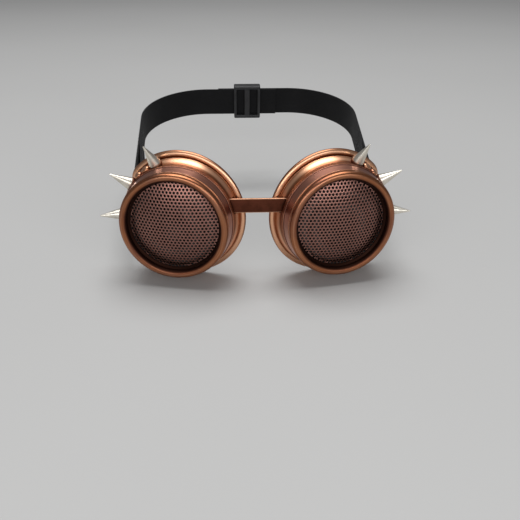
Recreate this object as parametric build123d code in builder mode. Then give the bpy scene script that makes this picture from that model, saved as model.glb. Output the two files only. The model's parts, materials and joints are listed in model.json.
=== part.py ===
"""Steampunk goggles: two round eye cups with screw-on bezels and domed grilles, cone spikes on the
outer side of each cup, a flat nose strip hinged between the cups and an elastic head strap.

Millimetres. +X is the right hand side seen from the front, +Y runs back over the wearer's head and
+Z is up. The origin lies where the wearer's brow is, midway between the cups at the height of their
centres. The right hand cup and its pieces are modelled, and mirrored for the left.
"""
from build123d import *
from math import atan2, cos, hypot, radians, sin, sqrt, tan
import os

# ---- driving dimensions -------------------------------------------------------------------------
seat_x = 44.7              # from the middle to the centre of a cup's bezel seat
seat_y = -4.0              # the bezel seat's place from front to back
toe_out = 12.0             # how far each cup looks outwards, degrees

cut_past = 1.0             # cuts reach this far past what they cut

# neck, and the stack of gasket, lens, spacer and grille in front of it
neck_bore = 24.6           # clear radius through the neck
neck_wall = 4.4
neck_h = 4.4
shelf_t = 1.0              # the neck's shelf inside the cup
thread_clearance = 0.08
gasket_t = 0.8
gasket_w = 3.4
lens_t = 1.6
lens_play = 0.58           # between the lens and the bezel's bore
spacer_t = 0.6
spacer_w = 3.2
grille_t = 0.6
grille_play = 0.68         # between the grille's rim and the bezel's bore
seat_play = 0.05           # between the grille's rim and the bezel's shoulder
dome_h = 4.6               # the grille's rise
dome_margin = 0.6          # from the bezel's mouth to the foot of the dome
hole_pitch = 4.1           # the holes' spacing in rows that are staggered by half
hole_af = 2.7              # each hole, across its flats
hole_turn = 30.0           # turned so that two corners point up and down
hole_margin = 2.0          # the holes' centres stay this far inside the dome's foot

# bezel
bezel_gap = 0.7            # shadow gap between the bezel and the cup's flange
bezel_wall = 2.92          # from the threaded bore to the rear edge
bezel_edge_h = 1.2         # height of that edge
bezel_edge_step = 0.35
bezel_waist = 1.32         # from the bore to the side band where it meets the bead
bezel_step = 0.5           # fine step between band and bead
bezel_step_h = 0.9
bezel_step_edge = 0.3      # its chamfer towards the bead
bead_inset = 0.48          # the bead's centre circle lies this far inside the bore
bead_half = 2.4            # the bead's own radius
bead_lift = 2.35           # its centre above the shoulder
bead_start = -50.0         # its arc runs from the side band, degrees
bead_stop = 205.0          # to the inner slope
shoulder_w = 3.2           # overlap of the shoulder on the grille's rim
shoulder_edge = 0.55       # height of the mouth's narrow end

# cup
flange_t = 1.6
flange_step = 0.6
wall_h = 6.0               # the flared wall, along the axis
wall_flare = 2.6           # how much wider it is at the back
wall_t = 2.2
groove_step = 0.9
groove_h = 0.6
plate_t = 1.0              # closes the cup between the round wall and its flattened side
skirt_h = 3.1              # from the groove to the face lip's centre
lip_out = 1.8              # the lip's centre line outside the skirt
lip_w = 2.2                # its half width
lip_t = 1.7                # its half thickness
lip_tilt = 3.5             # the lip's outer side lies deeper, degrees
flat_cut = 6.6             # cut off the round skirt on its outer side
flat_corner_r = 9.0

# spikes, their screws and the vent hoods
spike_angles = (68.0, 34.0, 0.0)
spike_set = 2.4            # the spikes' feet behind the flange
spike_r = 3.5
spike_h = 13.0
spike_tip_r = 0.35
spike_skirt_h = 0.6
pad_edge = 0.3             # a spike's pad is wider than the spike by this
pad_rise = 1.2
screw_r = 1.25
screw_clearance = 0.05
screw_depth = 5.0
screw_head_r = 1.9
screw_head_t = 0.8
screw_head_gap = 0.15      # a flat head on the curved wall stands off by this
vent_angles = (56.2, 45.8)
vent_l = 5.2
vent_w = 4.4
vent_rise = 1.9
vent_root = 1.2            # depth of a hood's foot in the wall
vent_corner_r = 1.9
vent_edge_r = 1.2

# nose strip and its pins
strip_forward = 2.0        # the strip in front of the bezel seats' centres
strip_z = 8.8
strip_h = 8.4
strip_t = 1.2
pin_set = 1.8              # from the neck's bore to a nose pin
pin_r = 1.0
pin_clearance = 0.05
strip_play = 0.25          # above and below the strip between its bosses
swing = 10.0               # furthest turn of a cup on its nose pin, degrees
slot_l = 9.0               # the slot reaches this far from the pin, out through the wall
wall_reach = 5.5           # from the pin to the wall's outside
pin_head_r = 1.7
pin_head_t = 0.6
boss_h = 3.2
boss_w = 5.4

# strap, its bar on the cup and its slider
bar_out = 3.0              # the bar outside the flattened skirt
bar_gap = 9.2              # the bar behind the lip's centre
bar_r = 1.6
ear_t = 2.2
ear_w = 4.4
ear_round = 2.0
ear_play = 0.6             # between the strap's edges and the ears
strap_w = 20.0
strap_t = 1.2
strap_play = 0.6           # between strap and bar
strap_rise = 10.0          # the strap climbs towards the back of the head, degrees
strap_spread = 2.0         # and opens outwards from its bars, degrees
strap_back = 150.0         # from the bars to the strap's straight rear run
strap_corner_r = 46.0
sewn_from = 62.0           # where the folded end meets the strap again
sewn_l = 14.0
sewn_bite = 0.1            # the sewn layers press into each other by this
sewn_bend_r = 12.0
lap = 22.0                 # each half runs this far past the middle
layer_gap = 0.3
slider_l = 20.0
slider_bar = 4.0
slider_bar_t = 1.6
slider_rail = 2.4
slider_play = 0.35
slider_edge_r = 0.6

# ---- places that follow from them ---------------------------------------------------------------
neck_r = neck_bore + neck_wall                 # thread's crest on the cup
thread_r = neck_r + thread_clearance           # bore of the bezel
lens_r = thread_r - lens_play
grille_r = thread_r - grille_play
bezel_mouth_r = grille_r - shoulder_w
bezel_rear_r = thread_r + bezel_wall
bezel_waist_r = thread_r + bezel_waist
bezel_step_r = bezel_waist_r + bezel_step
bead_r = thread_r - bead_inset
dome_r = bezel_mouth_r - dome_margin
hole_field_r = dome_r - hole_margin
wall_front_r = bezel_rear_r - flange_step
wall_rear_r = wall_front_r + wall_flare
groove_r = wall_rear_r - groove_step
lip_r = groove_r + lip_out
flat_u = groove_r - flat_cut

gasket_h = neck_h
lens_h = gasket_h + gasket_t
spacer_h = lens_h + lens_t
grille_h = spacer_h + spacer_t
shoulder_h = grille_h + grille_t + seat_play
bead_h = shoulder_h + bead_lift
wall_end = -(flange_t + wall_h)
skirt_start = wall_end - groove_h
lip_back = skirt_h - skirt_start
spike_back = flange_t + spike_set
bar_u = flat_u + bar_out
bar_back = lip_back + bar_gap
strip_y = seat_y - strip_forward
pin_x = seat_x - neck_bore - pin_set

toe = radians(toe_out)
out_dir = Vector(cos(toe), sin(toe), 0)        # across the cup, away from the nose
front_dir = Vector(sin(toe), -cos(toe), 0)     # along the cup's axis, away from the face
seat = Vector(seat_x, seat_y, 0)
cup_axis = Axis(seat, front_dir)
profile = Plane(origin=seat, x_dir=out_dir, z_dir=(0, 0, -1))    # x is radius, y is height


def across(height):
    """The plane across the cup's axis at a height above the bezel seat."""
    return Plane(origin=seat + front_dir * height, x_dir=out_dir, z_dir=front_dir)


def point(u, v, height):
    """A point given outwards, upwards and forwards from the bezel seat's centre."""
    return seat + out_dir * u + Vector(0, 0, v) + front_dir * height


tilt = radians(lip_tilt)
lip_plane = Plane(origin=point(0, 0, -lip_back), x_dir=out_dir * cos(tilt) - front_dir * sin(tilt),
                  z_dir=front_dir * cos(tilt) + out_dir * sin(tilt))
slope = atan2(wall_flare, wall_h)
inner_t = wall_t / cos(slope)

bar_spot = point(bar_u, 0, -bar_back)
rise = radians(strap_rise)
strap_plane = Plane(origin=(0, bar_spot.Y, 0), x_dir=(1, 0, 0), z_dir=(0, -sin(rise), cos(rise)))
ear_mid = strap_w / 2 * cos(rise) + (bar_r + strap_t) * sin(rise) + ear_play + ear_t / 2


def wall_radius(height):
    """The flared wall's outer radius at a height."""
    return wall_front_r + (-flange_t - height) * tan(slope)


def spike_plane(angle):
    """The plane of a spike's pad: on the wall at an angle round the cup, facing out of the wall."""
    height = -spike_back
    radius = wall_radius(height)
    ray = out_dir * cos(radians(angle)) + Vector(0, 0, sin(radians(angle)))
    outwards = ray * cos(slope) + front_dir * sin(slope)
    foot = seat + front_dir * height + ray * radius
    return Plane(origin=foot, x_dir=front_dir.cross(ray), z_dir=outwards)


def flattened(plane, radius, flat):
    """A disc on a plane with its outer side cut flat and the two corners rounded."""
    with BuildSketch(plane) as outline:
        Circle(radius)
        with Locations((flat + radius, 0)):
            Rectangle(2 * radius, 2 * radius, mode=Mode.SUBTRACT)
        fillet(outline.vertices(), flat_corner_r)
    return outline


def ring(outer_r, inner_r, bottom, thickness):
    """A flat ring across the cup's axis."""
    with BuildPart() as flat_ring:
        with BuildSketch(across(bottom)):
            Circle(outer_r)
            Circle(inner_r, mode=Mode.SUBTRACT)
        extrude(amount=thickness)
    return flat_ring.part


ear_l = bar_back + ear_w / 2 - lip_back
ear_y = -(lip_back + ear_l / 2)
eye_r = pin_r + pin_clearance + strip_t
pin_spot = (pin_x, strip_y, strip_z)
boss_mid = strip_h / 2 + strip_play + boss_h / 2
slot_w = strip_t + 2 * (sin(radians(swing)) * wall_reach + strip_play)
pin_l = 2 * boss_mid + boss_h

# ---- vent hood ----------------------------------------------------------------------------------
with BuildPart() as vent_hood:
    with BuildSketch():
        RectangleRounded(vent_l, vent_w, vent_corner_r)
    extrude(amount=vent_rise + vent_root)
    fillet(vent_hood.faces().sort_by(Axis.Z)[-1].edges(), vent_edge_r)

# ---- eye cup ------------------------------------------------------------------------------------
inner_front_r = wall_radius(-shelf_t) - inner_t
inner_rear_r = wall_radius(skirt_start + plate_t) - inner_t
skirt_outline = flattened(across(skirt_start), groove_r, flat_u)
hollow_outline = flattened(across(skirt_start + plate_t), groove_r - wall_t, flat_u - wall_t)
lip_path = flattened(lip_plane, lip_r, flat_u + wall_t / 2)

with BuildPart() as hollow:
    with BuildSketch(profile):
        with BuildLine():
            Polyline((0, neck_h + cut_past), (neck_bore, neck_h + cut_past), (neck_bore, -shelf_t),
                     (inner_front_r, -shelf_t), (inner_rear_r, skirt_start + plate_t),
                     (0, skirt_start + plate_t), close=True)
        make_face()
    revolve(axis=cup_axis)
    extrude(hollow_outline.sketch, amount=-2 * lip_back)
    with Locations((pin_x, strip_y, strip_z + boss_mid), (pin_x, strip_y, strip_z - boss_mid)):
        Box(boss_w, boss_w, boss_h, mode=Mode.SUBTRACT)

with BuildPart() as cup_right:
    with BuildSketch(profile):
        with BuildLine():
            Polyline((0, neck_h), (neck_r, neck_h), (neck_r, 0), (bezel_rear_r, 0),
                     (bezel_rear_r, -flange_t), (wall_front_r, -flange_t), (wall_rear_r, wall_end),
                     (groove_r, skirt_start), (0, skirt_start), close=True)
        make_face()
    revolve(axis=cup_axis)
    extrude(skirt_outline.sketch, amount=-2 * lip_back)
    split(bisect_by=lip_plane, keep=Keep.TOP)
    lip_wire = lip_path.sketch.faces()[0].outer_wire()
    lip_start = Plane(origin=lip_wire @ 0, x_dir=lip_plane.z_dir, z_dir=lip_wire % 0)
    with BuildSketch(lip_start):
        Ellipse(lip_t, lip_w)
    sweep(path=lip_wire)
    for angle in spike_angles:
        with BuildSketch(spike_plane(angle).offset(-wall_t / 2)):
            Circle(spike_r + pad_edge)
        extrude(amount=wall_t / 2 + pad_rise)
    add(hollow.part, mode=Mode.SUBTRACT)
    for angle in vent_angles + tuple(-angle for angle in vent_angles):
        add(spike_plane(angle).offset(-vent_root).location * vent_hood.part)
    for side in (1, -1):
        with BuildSketch(Plane(origin=point(bar_u, side * ear_mid + ear_t / 2, 0), x_dir=out_dir,
                               z_dir=(0, 0, -1))):
            with Locations((0, ear_y)):
                RectangleRounded(ear_w, ear_l, ear_round)
        extrude(amount=ear_t)
    with BuildSketch(Plane(origin=bar_spot, x_dir=out_dir, z_dir=strap_plane.z_dir)):
        Circle(bar_r)
    extrude(amount=ear_mid / cos(rise), both=True)
    for angle in spike_angles:
        with BuildSketch(spike_plane(angle).offset(-2 * wall_t)):
            Circle(screw_r + screw_clearance)
        extrude(amount=2 * wall_t + pad_rise, mode=Mode.SUBTRACT)
    with Locations((pin_x - slot_l / 2, strip_y, strip_z)):
        Box(slot_l, slot_w, strip_h + 2 * strip_play, mode=Mode.SUBTRACT)
    with Locations(pin_spot):
        Cylinder(eye_r + strip_play, strip_h + 2 * strip_play, mode=Mode.SUBTRACT)
        Cylinder(pin_r + pin_clearance, pin_l, mode=Mode.SUBTRACT)
cup_right.part.label = "cup_right"

# ---- bezel --------------------------------------------------------------------------------------
bead_centre = Vector(bead_r, bead_h)
crease = bead_centre + Vector(cos(radians(bead_start)), sin(radians(bead_start))) * bead_half
bead_end = bead_centre + Vector(cos(radians(bead_stop)), sin(radians(bead_stop))) * bead_half
step_h = crease.Y - bezel_step_h

with BuildPart() as bezel_right:
    with BuildSketch(profile):
        with BuildLine():
            Polyline((bead_end.X, bead_end.Y), (bezel_mouth_r, shoulder_h + shoulder_edge),
                     (bezel_mouth_r, shoulder_h), (thread_r, shoulder_h), (thread_r, bezel_gap),
                     (bezel_rear_r, bezel_gap), (bezel_rear_r, bezel_gap + bezel_edge_h),
                     (bezel_rear_r - bezel_edge_step, bezel_gap + bezel_edge_h),
                     (bezel_waist_r, step_h), (bezel_step_r, step_h),
                     (bezel_step_r, crease.Y - bezel_step_edge), (crease.X, crease.Y))
            CenterArc(bead_centre, bead_half, bead_start, bead_stop - bead_start)
        make_face()
    revolve(axis=cup_axis)
bezel_right.part.label = "bezel_right"

# ---- gasket, lens, spacer ring and grille -------------------------------------------------------
gasket_right = ring(lens_r, lens_r - gasket_w, gasket_h, gasket_t)
gasket_right.label = "gasket_right"
spacer_right = ring(grille_r, grille_r - spacer_w, spacer_h, spacer_t)
spacer_right.label = "spacer_right"

with BuildPart() as lens_right:
    with BuildSketch(across(lens_h)):
        Circle(lens_r)
    extrude(amount=lens_t)
lens_right.part.label = "lens_right"

dome_foot = grille_h + grille_t
dome_outer = (dome_r ** 2 + dome_h ** 2) / (2 * dome_h)
dome_centre = dome_foot + dome_h - dome_outer
dome_inner = dome_outer - grille_t
inner_foot = sqrt(dome_inner ** 2 - (grille_h - dome_centre) ** 2)
row = hole_pitch * sqrt(3) / 2
rows = int(hole_field_r / row)
hole_spots = [
    ((column + 0.5 * (line % 2)) * hole_pitch, line * row)
    for line in range(-rows, rows + 1)
    for column in range(-rows - 1, rows + 1)
    if hypot((column + 0.5 * (line % 2)) * hole_pitch, line * row) < hole_field_r
]

with BuildPart() as grille_right:
    with BuildSketch(profile):
        with BuildLine():
            RadiusArc((dome_r, dome_foot), (0, dome_foot + dome_h), -dome_outer)
            RadiusArc((inner_foot, grille_h), (0, dome_foot + dome_h - grille_t), -dome_inner)
            Line((0, dome_foot + dome_h), (0, dome_foot + dome_h - grille_t))
            Polyline((inner_foot, grille_h), (grille_r, grille_h), (grille_r, dome_foot),
                     (dome_r, dome_foot))
        make_face()
    revolve(axis=cup_axis)
    with BuildSketch(across(grille_h - cut_past)):
        with Locations(*hole_spots):
            RegularPolygon(hole_af / 2, 6, major_radius=False, rotation=hole_turn)
    extrude(amount=dome_h + grille_t + 2 * cut_past, mode=Mode.SUBTRACT)
grille_right.part.label = "grille_right"

# ---- spikes and the screws that hold them -------------------------------------------------------
with BuildPart() as spike:
    Cylinder(spike_r, spike_skirt_h, align=(Align.CENTER, Align.CENTER, Align.MIN))
    with Locations((0, 0, spike_skirt_h)):
        Cone(spike_r, spike_tip_r, spike_h - spike_skirt_h,
             align=(Align.CENTER, Align.CENTER, Align.MIN))
    Cylinder(screw_r + screw_clearance, screw_depth + 2 * screw_clearance,
             align=(Align.CENTER, Align.CENTER, Align.MIN), mode=Mode.SUBTRACT)

head_seat = -wall_t - screw_head_gap
with BuildPart() as screw:
    with Locations((0, 0, head_seat)):
        Cylinder(screw_head_r, screw_head_t, align=(Align.CENTER, Align.CENTER, Align.MAX))
        Cylinder(screw_r, screw_depth + pad_rise - head_seat,
                 align=(Align.CENTER, Align.CENTER, Align.MIN))

with BuildPart() as spikes_right:
    for angle in spike_angles:
        add(spike_plane(angle).offset(pad_rise).location * spike.part)
spikes_right.part.label = "spikes_right"

with BuildPart() as spike_screws_right:
    for angle in spike_angles:
        add(spike_plane(angle).location * screw.part)
spike_screws_right.part.label = "spike_screws_right"

# ---- nose pin and nose strip --------------------------------------------------------------------
with BuildPart() as nose_pin_right:
    with Locations((pin_x, strip_y, strip_z - pin_l / 2)):
        Cylinder(pin_r, pin_l - pin_clearance, align=(Align.CENTER, Align.CENTER, Align.MIN))
        Cylinder(pin_head_r, pin_head_t, align=(Align.CENTER, Align.CENTER, Align.MAX))
nose_pin_right.part.label = "nose_pin_right"

with BuildPart() as nose_strip:
    with Locations((0, strip_y, strip_z)):
        Box(2 * pin_x, strip_t, strip_h)
    with Locations(pin_spot, (-pin_x, strip_y, strip_z)):
        Cylinder(eye_r, strip_h)
        Cylinder(pin_r + pin_clearance, strip_h, mode=Mode.SUBTRACT)
nose_strip.part.label = "nose_strip"

# ---- head strap ---------------------------------------------------------------------------------
spread = radians(strap_spread)
loop_r = bar_r + strap_play + strap_t / 2
loop_bend = bar_r + strap_play
sewn_aside = loop_r - strap_t + sewn_bite


def along(distance, aside):
    """A point in the strap's plane, behind the bar and to its outer side."""
    return (bar_spot.X + distance * sin(spread) + aside * cos(spread),
            distance * cos(spread) - aside * sin(spread))


def strap_half(rear):
    """The right half of the strap, folded round the bar, with its rear run at a given depth."""
    start_x, start_y = along(0, loop_r)
    corner = (start_x + (rear - start_y) * tan(spread), rear)
    with BuildPart() as half:
        with BuildSketch(strap_plane):
            with BuildLine():
                FilletPolyline(along(-loop_r, 0), along(-loop_r, loop_r), corner, (-lap, rear),
                               radius=(loop_bend, strap_corner_r))
            trace(line_width=strap_t)
            with BuildLine():
                FilletPolyline(along(-loop_r, 0), along(-loop_r, -loop_r),
                               along(sewn_from, sewn_aside), along(sewn_from + sewn_l, sewn_aside),
                               radius=(loop_bend, sewn_bend_r))
            trace(line_width=strap_t)
        extrude(amount=strap_w / 2, both=True)
    return half.part


strap_right = strap_half(strap_back + (strap_t + layer_gap) / 2)
strap_right.label = "strap_right"
strap_inner = strap_half(strap_back - (strap_t + layer_gap) / 2)

# ---- strap slider -------------------------------------------------------------------------------
pass_t = 2 * strap_t + layer_gap + 2 * slider_play
pass_w = strap_w + 2 * slider_play
slider_t = pass_t + 2 * slider_bar_t
slider_w = pass_w + 2 * slider_rail
with BuildPart() as strap_slider:
    with BuildSketch(strap_plane.offset(-slider_w / 2)):
        with Locations((0, strap_back)):
            RectangleRounded(slider_l, slider_t, slider_edge_r)
    extrude(amount=slider_w)
    with BuildSketch(strap_plane.offset(-pass_w / 2)):
        with Locations((0, strap_back)):
            Rectangle(2 * slider_l, pass_t)
        with Locations((0, strap_back + slider_t / 2)):
            Rectangle(slider_l - 2 * slider_bar, slider_t)
        with Locations((slider_l / 4, strap_back - slider_t / 2),
                       (-slider_l / 4, strap_back - slider_t / 2)):
            Rectangle(slider_l / 2 - slider_bar, slider_t)
    extrude(amount=pass_w, mode=Mode.SUBTRACT)
strap_slider.part.label = "strap_slider"

# ---- left hand pieces and files -----------------------------------------------------------------
right_pieces = {
    "cup": cup_right.part, "bezel": bezel_right.part, "gasket": gasket_right,
    "lens": lens_right.part, "spacer": spacer_right, "grille": grille_right.part,
    "spikes": spikes_right.part, "spike_screws": spike_screws_right.part,
    "nose_pin": nose_pin_right.part, "strap": strap_right,
}
os.makedirs("parts", exist_ok=True)
for name, piece in right_pieces.items():
    export_step(piece, f"parts/{name}_right.step")
    with BuildPart() as left:
        mirror(strap_inner if name == "strap" else piece, about=Plane.YZ)
    left.part.label = name + "_left"
    export_step(left.part, f"parts/{name}_left.step")
export_step(nose_strip.part, "parts/nose_strip.step")
export_step(strap_slider.part, "parts/strap_slider.step")
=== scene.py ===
# %% [markdown]
# # Steampunk goggles
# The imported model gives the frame: which solid is where, and what moves with what. Its meshes are
# loose, flat triangles, so each piece is built again here as a smooth surface with a finish, and
# stands for its solid.

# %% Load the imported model
import json
import bpy
import bmesh
import numpy as np
from mathutils import Matrix, Vector


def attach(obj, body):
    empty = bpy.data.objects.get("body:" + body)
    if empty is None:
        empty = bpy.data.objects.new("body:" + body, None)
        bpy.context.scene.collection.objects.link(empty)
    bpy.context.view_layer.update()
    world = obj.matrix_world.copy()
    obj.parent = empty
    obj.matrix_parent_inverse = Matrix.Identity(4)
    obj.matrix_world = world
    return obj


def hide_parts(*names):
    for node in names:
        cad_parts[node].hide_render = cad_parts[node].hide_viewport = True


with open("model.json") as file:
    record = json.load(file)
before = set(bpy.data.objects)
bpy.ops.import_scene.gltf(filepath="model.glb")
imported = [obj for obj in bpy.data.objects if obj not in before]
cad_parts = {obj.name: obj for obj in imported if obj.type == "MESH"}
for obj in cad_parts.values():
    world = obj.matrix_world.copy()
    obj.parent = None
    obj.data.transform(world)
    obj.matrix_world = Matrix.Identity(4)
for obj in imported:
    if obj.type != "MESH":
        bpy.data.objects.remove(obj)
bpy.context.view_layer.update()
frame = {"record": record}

# %% [markdown]
# Sizes are in millimetres, apart from those in materials and lights, and a piece becomes metres
# when its mesh is written. The two cups look 12 degrees outwards. Their place and direction come
# from the bezels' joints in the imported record.

# %% Where each cup sits
MM = 0.001
SIDES = {"right": 1, "left": -1}
joints = {joint["name"]: joint for joint in frame["record"]["behaviour"]["joints"]}


class Place:
    """An origin and three unit directions: local (u, v, w) stands for origin + u*x + v*y + w*z."""

    def __init__(self, origin, x, y, z):
        self.origin = np.array(origin, float)
        self.axes = np.array([x, y, z], float)

    def put(self, points):
        """Local points to points of the frame."""
        return self.origin + np.asarray(points, float) @ self.axes

    def local(self, u, v, w, x, y, z):
        """A new place, given in this one's own terms."""
        turned_axes = np.array([x, y, z], float) @ self.axes
        return Place(self.put((u, v, w)), *turned_axes)


def cup_place(word):
    """The bezel seat of one cup: u goes outwards, v up and w forwards along the cup's axis."""
    joint = joints[f"bezel_{word}_turn"]
    front = np.array(joint["axis"])
    outwards = SIDES[word] * np.array([-front[1], front[0], 0.0])
    return Place(np.array(joint["pos_m"]) / MM, outwards, (0, 0, 1), front)


cups = {word: cup_place(word) for word in SIDES}
TOE = float(np.degrees(np.arcsin(abs(cups["right"].axes[2][0]))))
print("cup centres", {word: place.origin.round(1).tolist() for word, place in cups.items()})

# %% [markdown]
# Nearly every piece here is a *skin*: a grid of points worked out from two numbers, such as the
# angle round a ring and the distance along its outline. numpy works out the whole grid at once.
# A closed skin has its inside and outside told apart by its signed volume, which is the sum of
# the small pyramids between the origin and each face: a skin with a negative sum is turned round.


# %% Skins from grids of points
def facing_out(points, quads):
    """The quads, turned round if the closed skin that they make is inside out."""
    corners = points[quads]
    first = np.einsum("ij,ij->i", corners[:, 0], np.cross(corners[:, 1], corners[:, 2])).sum()
    second = np.einsum("ij,ij->i", corners[:, 0], np.cross(corners[:, 2], corners[:, 3])).sum()
    return quads if first + second > 0 else quads[:, ::-1]


def grid_quads(rows, columns, close_rows, close_columns):
    """Corner indices of the quads over a grid, and each corner's own row and column."""
    row, column = np.meshgrid(np.arange(rows - 1 + close_rows),
                              np.arange(columns - 1 + close_columns), indexing="ij")
    row, column = row.ravel(), column.ravel()
    corner_row = np.stack([row, row, row + 1, row + 1], axis=1)
    corner_column = np.stack([column, column + 1, column + 1, column], axis=1)
    quads = (corner_row % rows) * columns + corner_column % columns
    return quads, corner_row, corner_column


def finish_mesh(mesh, sharp=35.0):
    """Merges doubled points, shades the mesh smooth and keeps edges sharper than an angle."""
    work = bmesh.new()
    work.from_mesh(mesh)
    bmesh.ops.remove_doubles(work, verts=work.verts, dist=0.002 * MM)
    bmesh.ops.dissolve_degenerate(work, edges=work.edges, dist=0.001 * MM)
    work.to_mesh(mesh)
    work.free()
    mesh.polygons.foreach_set("use_smooth", np.ones(len(mesh.polygons), bool))
    mesh.set_sharp_from_angle(angle=np.radians(sharp))
    mesh.update()


def linked(name, data):
    """A new object in the scene that holds a mesh, a lamp or a camera."""
    made = bpy.data.objects.new(name, data)
    bpy.context.scene.collection.objects.link(made)
    return made


def new_object(name, mesh, material):
    """An object at the origin, unturned and unscaled, holding the mesh."""
    mesh.materials.append(material)
    return linked(name, mesh)


def mesh_of(name, points, faces, marks=None):
    """A mesh from millimetre points. marks are named numbers, one for each point."""
    mesh = bpy.data.meshes.new(name)
    mesh.from_pydata((np.asarray(points) * MM).tolist(), [], [list(face) for face in faces])
    for mark, values in (marks or {}).items():
        layer = mesh.attributes.new(mark, "FLOAT", "POINT")
        layer.data.foreach_set("value", np.asarray(values, np.float32).ravel())
    return mesh


def skin(name, grid, material, close=(True, True), marks=None, uv=None, sharp=35.0):
    """A skin over a grid of points. uv gives each grid line's own measure, rows then columns."""
    rows, columns = grid.shape[:2]
    quads, corner_row, corner_column = grid_quads(rows, columns, *close)
    points = grid.reshape(-1, 3)
    turned_quads = facing_out(points, quads)
    mesh = mesh_of(name, points, turned_quads, marks)
    if uv is not None:
        along, across = uv
        if turned_quads is not quads:
            corner_row, corner_column = corner_row[:, ::-1], corner_column[:, ::-1]
        pairs = np.stack([along[corner_row], across[corner_column]], axis=-1)
        mesh.uv_layers.new(name="UVMap").data.foreach_set("uv", pairs.astype(np.float32).ravel())
    finish_mesh(mesh, sharp)
    return new_object(name, mesh, material)


# %% [markdown]
# A turned part, such as a bezel or a spike, is an outline of (radius, height) pairs carried round
# an axis. Real outlines have no razor edges, so each corner of an outline gets a small arc.


# %% Outlines with rounded corners
def unit(rows):
    """Each row at length 1."""
    return rows / np.linalg.norm(rows, axis=1, keepdims=True)


def rounded(corners, steps=5, closed=True):
    """A polyline whose corners (x, y, radius) are replaced by arcs of that radius."""
    line = []
    count = len(corners)
    for index, (x, y, radius) in enumerate(corners):
        here = np.array([x, y])
        if radius == 0 or (not closed and index in (0, count - 1)):
            line.append(here[None])
            continue
        before = np.array(corners[index - 1][:2]) - here
        after = np.array(corners[(index + 1) % count][:2]) - here
        reach = min(np.linalg.norm(before), np.linalg.norm(after)) * 0.49
        before, after = before / np.linalg.norm(before), after / np.linalg.norm(after)
        half = np.arccos(np.clip(before @ after, -1, 1)) / 2
        radius = min(radius, reach * np.tan(half))
        middle = (before + after) / np.linalg.norm(before + after)
        centre = here + middle * radius / np.sin(half)
        start, stop = here + before * radius / np.tan(half), here + after * radius / np.tan(half)
        turn = np.linspace(0, 1, steps)[:, None]
        spread = (start - centre) * (1 - turn) + (stop - centre) * turn
        line.append(centre + unit(spread) * radius)
    return np.concatenate(line)


def arc(x, y, radius, start, stop, steps):
    """Points on an arc, angles in degrees."""
    turn = np.radians(np.linspace(start, stop, steps))
    return np.stack([x + radius * np.cos(turn), y + radius * np.sin(turn)], axis=1)


def full_turn(steps):
    """The angles of evenly spaced points round a ring."""
    return np.linspace(0, 2 * np.pi, steps, endpoint=False)


def ring_points(reach, turn, height):
    """Points at distances from the w axis, at angles round it and at heights."""
    return np.stack([reach * np.cos(turn), reach * np.sin(turn), height + 0 * turn], axis=-1)


def ring_grid(outline, steps):
    """The grid of an outline of (radius, height) carried round the w axis."""
    return ring_points(outline[:, :1], full_turn(steps), outline[:, 1:2])


def ring_marks(marks, steps):
    """The marks of an outline's points, given to every point of their rings."""
    return {name: np.repeat(values[:, None], steps, axis=1) for name, values in marks.items()}


def turned(name, outline, place, material, steps=160, marks=None, **options):
    """An outline of (radius, height) turned round a place's w axis."""
    return skin(name, place.put(ring_grid(outline, steps)), material,
                marks=ring_marks(marks or {}, steps), **options)


def prism(name, outline, low, high, edge, place, material, sharp=35.0):
    """A flat outline given a thickness along w, with its two rims rounded by an edge radius."""
    following = np.roll(outline, -1, axis=0)
    along = unit(unit(following - outline) + unit(outline - np.roll(outline, 1, axis=0)))
    area = np.sum(outline[:, 0] * following[:, 1] - following[:, 0] * outline[:, 1])
    inwards = np.stack([-along[:, 1], along[:, 0]], axis=1) * np.sign(area)
    turn = np.radians(np.linspace(0, 90, 4))
    inset = np.concatenate([edge * (1 - np.sin(turn)), edge * (1 - np.cos(turn))])
    level = np.concatenate([low + edge * (1 - np.cos(turn)), high - edge * (1 - np.sin(turn))])
    flat = outline[None] + inwards[None] * inset[:, None, None]
    grid = np.concatenate([flat, np.broadcast_to(level[:, None, None], flat.shape[:2] + (1,))], axis=-1)
    points = place.put(grid.reshape(-1, 3))
    rows, columns = grid.shape[:2]
    quads = grid_quads(rows, columns, False, True)[0]
    ends = [list(range(columns))[::-1], list(range((rows - 1) * columns, rows * columns))]
    mesh = mesh_of(name, points, [*quads.tolist(), *ends])
    finish_mesh(mesh, sharp)
    work = bmesh.new()
    work.from_mesh(mesh)
    bmesh.ops.recalc_face_normals(work, faces=work.faces)
    work.to_mesh(mesh)
    work.free()
    return new_object(name, mesh, material)


# %% [markdown]
# Materials are made of shader nodes. A `Signal` is one node's output. Signals add, multiply and
# divide as numbers do, and each such step puts a Math node in, so a recipe reads as a formula.


# %% A short way to write node recipes
class Signal:
    """A shader node's output, and the tree that it belongs to."""

    def __init__(self, tree, socket):
        self.tree, self.socket = tree, socket

    def math(self, operation, other=0.0):
        """A Math node's output. The other value is a number or a signal."""
        return add(self.tree, "ShaderNodeMath", 0, (0, self), (1, other), operation=operation)

    def __add__(self, other):
        return self.math("ADD", other)

    def __mul__(self, other):
        return self.math("MULTIPLY", other)

    def __truediv__(self, other):
        return self.math("DIVIDE", other)


def feed(tree, socket, value):
    """Links a signal to an input, or sets the input to a plain value."""
    if isinstance(value, Signal):
        tree.links.new(value.socket, socket)
    else:
        socket.default_value = value


def add(tree, kind, output, *sockets, **settings):
    """One output of a new shader node. Each socket is an (input, value or signal) pair."""
    made = tree.nodes.new(kind)
    for key, value in settings.items():
        setattr(made, key, value)
    for place, value in sockets:
        feed(tree, made.inputs[place], value)
    return Signal(tree, made.outputs[output])


def split(vector):
    """The X, Y and Z of a vector."""
    made = vector.tree.nodes.new("ShaderNodeSeparateXYZ")
    feed(vector.tree, made.inputs[0], vector)
    return [Signal(vector.tree, output) for output in made.outputs]


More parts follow.
